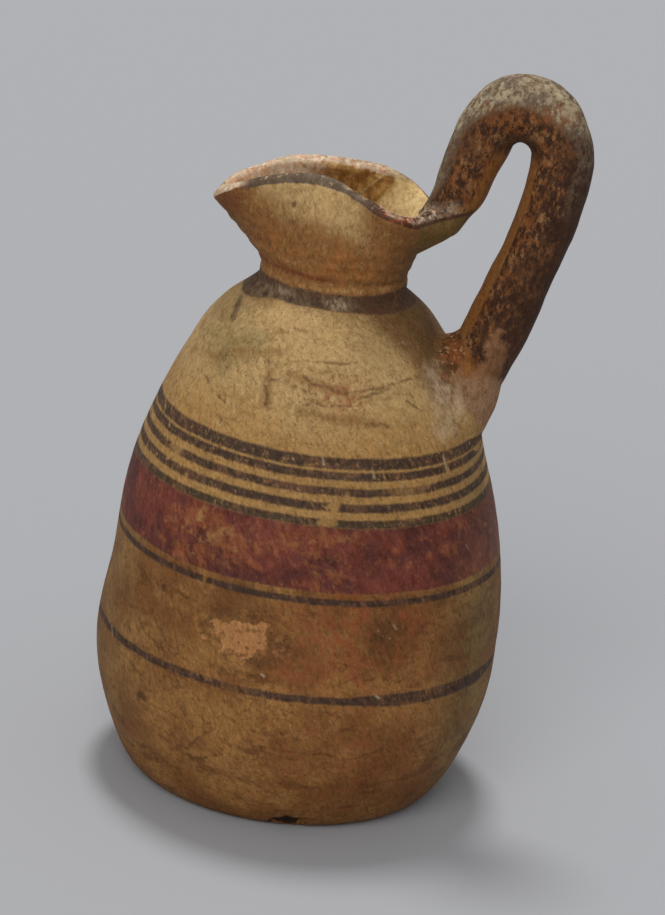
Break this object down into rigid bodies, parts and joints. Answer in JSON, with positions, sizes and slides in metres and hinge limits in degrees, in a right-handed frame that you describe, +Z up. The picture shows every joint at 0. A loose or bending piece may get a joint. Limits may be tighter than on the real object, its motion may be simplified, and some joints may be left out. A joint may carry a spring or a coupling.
{
  "type": "oinochoe",
  "caption": "Small hollow clay wine jug with an ovoid body, a short neck, a pinched trefoil mouth with a long spout and a round coil handle swung high over the rim.",
  "frame": {"origin": "centre of the flat base, on the surface that the jug stands on", "axes": "+Z up along the axis of the body, +X towards the handle, the spout points to -X, +Y across the jug"},
  "size_m": [0.0934, 0.0864, 0.1621],
  "materials": {
    "body_clay": "buff slip with dark brown lines and a wide dull red band, worn and flaked",
    "neck_clay": "buff slip, orange-brown lower down, a dark grey-brown line on the lip",
    "neck_lute_clay": "worked-down clay, buff above and painted dark grey-brown below",
    "handle_clay": "dark brown-black paint worn through to orange-brown clay, pale crown",
    "top_lute_clay": "smoothed buff clay below a dark painted line",
    "foot_lute_clay": "pinkish-brown clay with worn dark paint"
  },
  "bodies": {
    "root": {"body": "body_clay", "neck_and_mouth": "neck_clay", "neck_lute": "neck_lute_clay", "handle": "handle_clay", "handle_top_lute": "top_lute_clay", "handle_foot_lute": "foot_lute_clay"}
  },
  "joints": []
}
